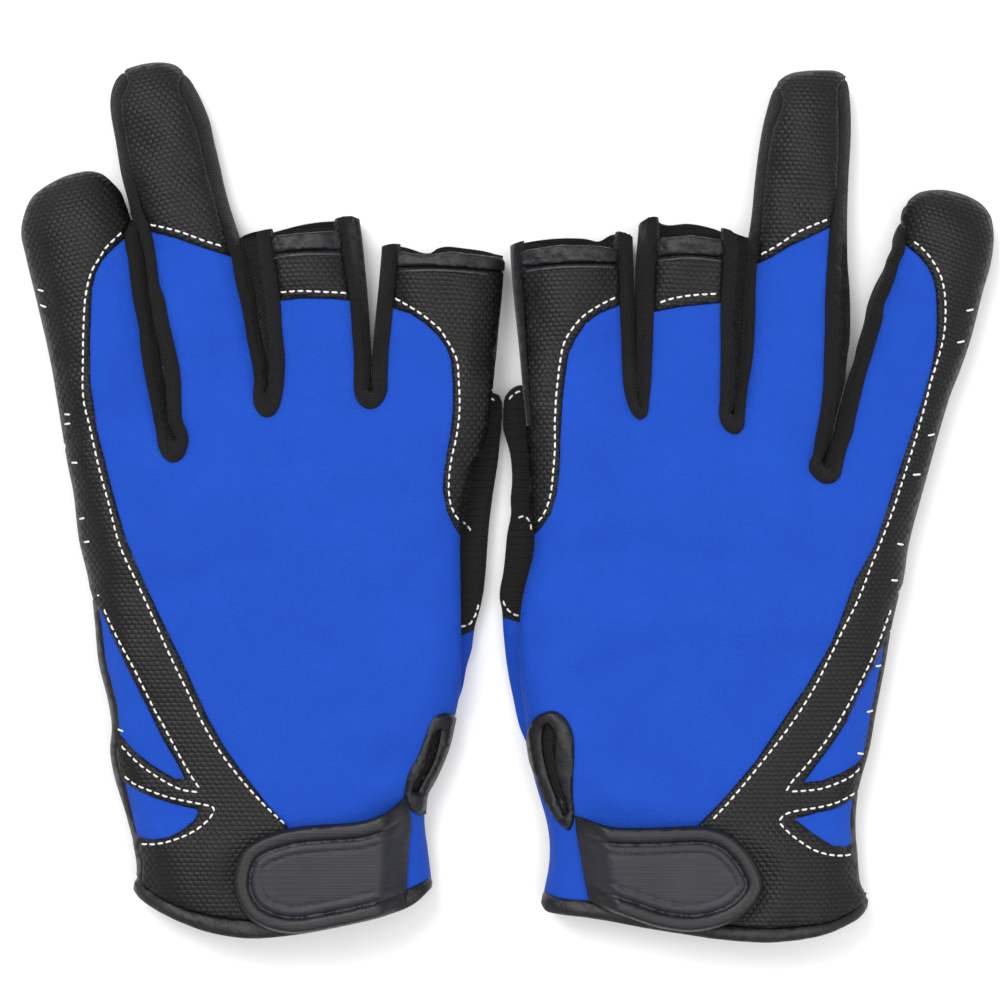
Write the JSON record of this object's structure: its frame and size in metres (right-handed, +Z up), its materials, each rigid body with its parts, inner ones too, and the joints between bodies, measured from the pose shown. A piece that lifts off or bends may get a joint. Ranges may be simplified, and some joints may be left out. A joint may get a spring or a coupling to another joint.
{
  "type": "pair of sailing gloves",
  "caption": "Pair of short-cuff sailing gloves with cut thumb, index and middle fingers, embossed overlays and a hook-and-loop wrist strap, laid palm down.",
  "frame": {"origin": "on the table under the middle of the pair", "axes": "+X across the pair from the left glove to the right glove, +Y towards the fingertips, +Z up from the palms to the backs"},
  "size_m": [0.2565, 0.2326, 0.0249],
  "materials": {
    "neoprene": "matt jersey-faced neoprene",
    "embossed_leather": "embossed synthetic leather",
    "fourchette_knit": "stretch knit",
    "binding_tape": "folded binding tape",
    "palm_suede": "synthetic suede",
    "strap_rubber": "satin moulded rubber",
    "strap_edge": "satin rolled edge",
    "hook_and_loop": "hook and loop pile",
    "thumb_knit": "ribbed stretch fabric"
  },
  "bodies": {
    "left_hand": {"left_palm_panel": "palm_suede", "left_back_panel": "neoprene", "left_embossed_overlays": "embossed_leather", "left_cuff_binding": "binding_tape", "left_vent_binding": "binding_tape", "left_loop_patch": "hook_and_loop"},
    "left_strap": {"left_wrist_strap": "strap_rubber", "left_strap_binding": "strap_edge", "left_hook_patch": "hook_and_loop"},
    "left_little": {"left_little_palm": "palm_suede", "left_little_fourchette": "fourchette_knit", "left_little_cap": "embossed_leather", "left_little_back": "neoprene"},
    "left_ring": {"left_ring_palm": "palm_suede", "left_ring_fourchettes": "fourchette_knit", "left_ring_tip": "embossed_leather", "left_ring_back": "neoprene"},
    "left_middle": {"left_middle_binding": "binding_tape", "left_middle_palm": "palm_suede", "left_middle_fourchettes": "fourchette_knit", "left_middle_band": "embossed_leather", "left_middle_back": "neoprene"},
    "left_index": {"left_index_binding": "binding_tape", "left_index_palm": "palm_suede", "left_index_fourchette": "fourchette_knit", "left_index_band": "embossed_leather", "left_index_back": "neoprene"},
    "left_thumb": {"left_thumb_palm": "palm_suede", "left_thumb_back": "thumb_knit"},
    "right_hand": {"right_palm_panel": "palm_suede", "right_back_panel": "neoprene", "right_embossed_overlays": "embossed_leather", "right_cuff_binding": "binding_tape", "right_vent_binding": "binding_tape", "right_loop_patch": "hook_and_loop"},
    "right_strap": {"right_wrist_strap": "strap_rubber", "right_strap_binding": "strap_edge", "right_hook_patch": "hook_and_loop"},
    "right_little": {"right_little_palm": "palm_suede", "right_little_fourchette": "fourchette_knit", "right_little_cap": "embossed_leather", "right_little_back": "neoprene"},
    "right_ring": {"right_ring_palm": "palm_suede", "right_ring_fourchettes": "fourchette_knit", "right_ring_tip": "embossed_leather", "right_ring_back": "neoprene"},
    "right_middle": {"right_middle_binding": "binding_tape", "right_middle_palm": "palm_suede", "right_middle_fourchettes": "fourchette_knit", "right_middle_band": "embossed_leather", "right_middle_back": "neoprene"},
    "right_index": {"right_index_binding": "binding_tape", "right_index_palm": "palm_suede", "right_index_fourchette": "fourchette_knit", "right_index_band": "embossed_leather", "right_index_back": "neoprene"},
    "right_thumb": {"right_thumb_palm": "palm_suede", "right_thumb_back": "thumb_knit"}
  },
  "joints": [
    {"name": "left_little_lift", "type": "hinge", "parent": "left_hand", "child": "left_little", "pos_m": [-0.10389, 0.01699, 0.017], "axis": [0.9873, 0.1587, 0], "range_deg": [0, 45]},
    {"name": "left_ring_lift", "type": "hinge", "parent": "left_hand", "child": "left_ring", "pos_m": [-0.07739, 0.02524, 0.017], "axis": [0.9884, 0.1521, 0], "range_deg": [0, 45]},
    {"name": "left_middle_lift", "type": "hinge", "parent": "left_hand", "child": "left_middle", "pos_m": [-0.05064, 0.02874, 0.017], "axis": [0.9941, 0.1084, 0], "range_deg": [0, 45]},
    {"name": "left_index_lift", "type": "hinge", "parent": "left_hand", "child": "left_index", "pos_m": [-0.02039, 0.03099, 0.017], "axis": [0.997, -0.0779, 0], "range_deg": [0, 45]},
    {"name": "left_thumb_tuck", "type": "hinge", "parent": "left_hand", "child": "left_thumb", "pos_m": [-0.02289, -0.01976, 0.0045], "axis": [0, 0, 1], "range_deg": [0, 10]},
    {"name": "left_strap_open", "type": "hinge", "parent": "left_hand", "child": "left_strap", "pos_m": [-0.02664, -0.09251, 0.0249], "axis": [-0.0175, 0.9998, 0], "range_deg": [0, 110]},
    {"name": "right_index_lift", "type": "hinge", "parent": "right_hand", "child": "right_index", "pos_m": [0.01911, 0.03049, 0.017], "axis": [0.9988, 0.0483, 0], "range_deg": [0, 45]},
    {"name": "right_middle_lift", "type": "hinge", "parent": "right_hand", "child": "right_middle", "pos_m": [0.04786, 0.02599, 0.017], "axis": [0.9983, -0.0587, 0], "range_deg": [0, 45]},
    {"name": "right_ring_lift", "type": "hinge", "parent": "right_hand", "child": "right_ring", "pos_m": [0.07486, 0.02599, 0.017], "axis": [0.9984, -0.0565, 0], "range_deg": [0, 45]},
    {"name": "right_little_lift", "type": "hinge", "parent": "right_hand", "child": "right_little", "pos_m": [0.09786, 0.00849, 0.017], "axis": [0.9554, -0.2953, 0], "range_deg": [0, 45]},
    {"name": "right_thumb_tuck", "type": "hinge", "parent": "right_hand", "child": "right_thumb", "pos_m": [0.01361, -0.01776, 0.0045], "axis": [0, 0, -1], "range_deg": [0, 10]},
    {"name": "right_strap_open", "type": "hinge", "parent": "right_hand", "child": "right_strap", "pos_m": [0.01936, -0.09626, 0.0249], "axis": [0.1909, -0.9816, 0], "range_deg": [0, 110]},
    {"name": "pair_apart", "type": "slide", "parent": "left_hand", "child": "right_hand", "axis": [1, 0, 0], "range_m": [0, 0.15]}
  ]
}
